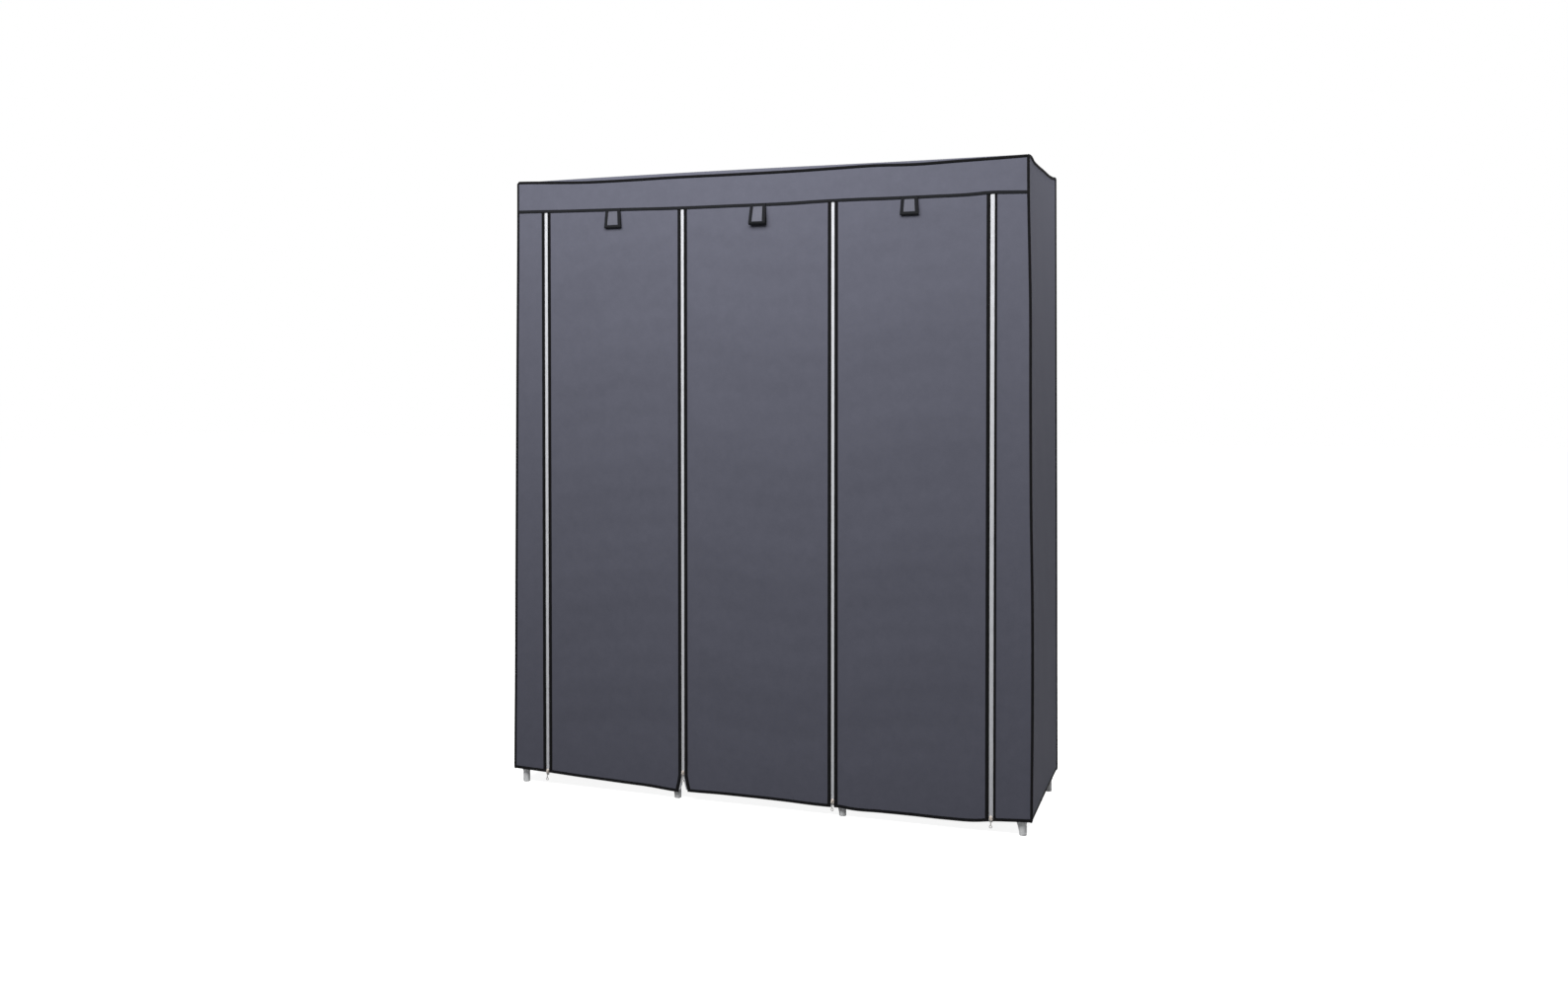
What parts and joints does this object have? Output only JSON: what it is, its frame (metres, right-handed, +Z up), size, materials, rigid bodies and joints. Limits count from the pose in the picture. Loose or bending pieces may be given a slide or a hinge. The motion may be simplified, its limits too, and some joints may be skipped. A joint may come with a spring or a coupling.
{
  "type": "portable fabric wardrobe",
  "caption": "Free-standing wardrobe: grey cloth cover with zipped roll-up doors over a tube frame with plastic feet, cloth shelves and hanging rails.",
  "frame": {"origin": "on the floor, under the centre of the whole outline", "axes": "+X to the right seen from the front, +Y to the rear, +Z up; the doors face -Y"},
  "size_m": [1.5, 0.4622, 1.75],
  "materials": {
    "cover_cloth": "matte",
    "binding": "matte",
    "zip_tape": "matte",
    "zip_metal": "satin",
    "foot_plastic": "satin",
    "frame_tube": "satin",
    "shelf_cloth": "matte"
  },
  "bodies": {
    "frame_and_cover": {"roof_panel": "cover_cloth", "left_side_panel": "cover_cloth", "right_side_panel": "cover_cloth", "back_panel": "cover_cloth", "header_band": "cover_cloth", "left_front_strip": "cover_cloth", "right_front_strip": "cover_cloth", "left_door_curtain": "cover_cloth", "middle_door_curtain": "cover_cloth", "right_door_curtain": "cover_cloth", "zip_tape_1": "zip_tape", "zip_tape_2": "zip_tape", "zip_tape_3": "zip_tape", "zip_tape_4": "zip_tape", "front_foot_1": "foot_plastic", "front_foot_2": "foot_plastic", "front_foot_3": "foot_plastic", "front_foot_4": "foot_plastic", "front_post_1": "frame_tube", "front_post_2": "frame_tube", "front_post_3": "frame_tube", "front_post_4": "frame_tube", "rear_post_1": "frame_tube", "rear_post_2": "frame_tube", "rear_post_3": "frame_tube", "rear_post_4": "frame_tube", "base_cross_tube_1": "frame_tube", "base_cross_tube_2": "frame_tube", "base_cross_tube_3": "frame_tube", "base_cross_tube_4": "frame_tube", "top_cross_tube_1": "frame_tube", "top_cross_tube_2": "frame_tube", "top_cross_tube_3": "frame_tube", "top_cross_tube_4": "frame_tube", "top_front_rail": "frame_tube", "top_rear_rail": "frame_tube", "left_base_shelf": "shelf_cloth", "middle_base_shelf": "shelf_cloth", "right_base_shelf": "shelf_cloth", "middle_shelf_1": "shelf_cloth", "middle_shelf_2": "shelf_cloth", "middle_shelf_3": "shelf_cloth", "middle_shelf_4": "shelf_cloth", "left_hanging_rail": "frame_tube", "right_hanging_rail": "frame_tube"},
    "left_door": {"left_door_hem": "binding"},
    "middle_door": {"middle_door_hem": "binding"},
    "right_door": {"right_door_hem": "binding"},
    "slider_1": {"zip_slider_1": "zip_metal"},
    "pull_1": {"zip_pull_1": "zip_metal"},
    "slider_2": {"zip_slider_2": "zip_metal"},
    "pull_2": {"zip_pull_2": "zip_metal"},
    "slider_3": {"zip_slider_3": "zip_metal"},
    "pull_3": {"zip_pull_3": "zip_metal"},
    "slider_4": {"zip_slider_4": "zip_metal"},
    "pull_4": {"zip_pull_4": "zip_metal"},
    "left_strap": {"left_door_strap": "binding"},
    "middle_strap": {"middle_door_strap": "binding"},
    "right_strap": {"right_door_strap": "binding"}
  },
  "joints": [
    {"name": "left_door_roll", "type": "slide", "parent": "frame_and_cover", "child": "left_door", "axis": [0, 0, 1], "range_m": [0, 1.5034], "deforming": ["left_door_curtain"]},
    {"name": "middle_door_roll", "type": "slide", "parent": "frame_and_cover", "child": "middle_door", "axis": [0, 0, 1], "range_m": [0, 1.5034], "deforming": ["middle_door_curtain"]},
    {"name": "right_door_roll", "type": "slide", "parent": "frame_and_cover", "child": "right_door", "axis": [0, 0, 1], "range_m": [0, 1.5034], "deforming": ["right_door_curtain"]},
    {"name": "zip_slide_1", "type": "slide", "parent": "frame_and_cover", "child": "slider_1", "axis": [0, 0, 1], "range_m": [0, 1.6044]},
    {"name": "zip_slide_2", "type": "slide", "parent": "frame_and_cover", "child": "slider_2", "axis": [0, 0, 1], "range_m": [-0.036, 1.5684]},
    {"name": "zip_slide_3", "type": "slide", "parent": "frame_and_cover", "child": "slider_3", "axis": [0, 0, 1], "range_m": [0, 1.6044]},
    {"name": "zip_slide_4", "type": "slide", "parent": "frame_and_cover", "child": "slider_4", "axis": [0, 0, 1], "range_m": [0, 1.6044]},
    {"name": "pull_swing_1", "type": "hinge", "parent": "slider_1", "child": "pull_1", "pos_m": [-0.65, -0.22898, 0.041], "axis": [-1, 0, 0], "range_deg": [0, 170]},
    {"name": "pull_swing_2", "type": "hinge", "parent": "slider_2", "child": "pull_2", "pos_m": [-0.22, -0.22898, 0.077], "axis": [-1, 0, 0], "range_deg": [0, 170]},
    {"name": "pull_swing_3", "type": "hinge", "parent": "slider_3", "child": "pull_3", "pos_m": [0.22, -0.22898, 0.041], "axis": [-1, 0, 0], "range_deg": [0, 170]},
    {"name": "pull_swing_4", "type": "hinge", "parent": "slider_4", "child": "pull_4", "pos_m": [0.65, -0.22898, 0.041], "axis": [-1, 0, 0], "range_deg": [0, 170]},
    {"name": "left_strap_swing", "type": "hinge", "parent": "frame_and_cover", "child": "left_strap", "pos_m": [-0.435, -0.22868, 1.665], "axis": [-1, 0, 0], "range_deg": [0, 160]},
    {"name": "middle_strap_swing", "type": "hinge", "parent": "frame_and_cover", "child": "middle_strap", "pos_m": [0, -0.22868, 1.665], "axis": [-1, 0, 0], "range_deg": [0, 160]},
    {"name": "right_strap_swing", "type": "hinge", "parent": "frame_and_cover", "child": "right_strap", "pos_m": [0.435, -0.22868, 1.665], "axis": [-1, 0, 0], "range_deg": [0, 160]}
  ]
}
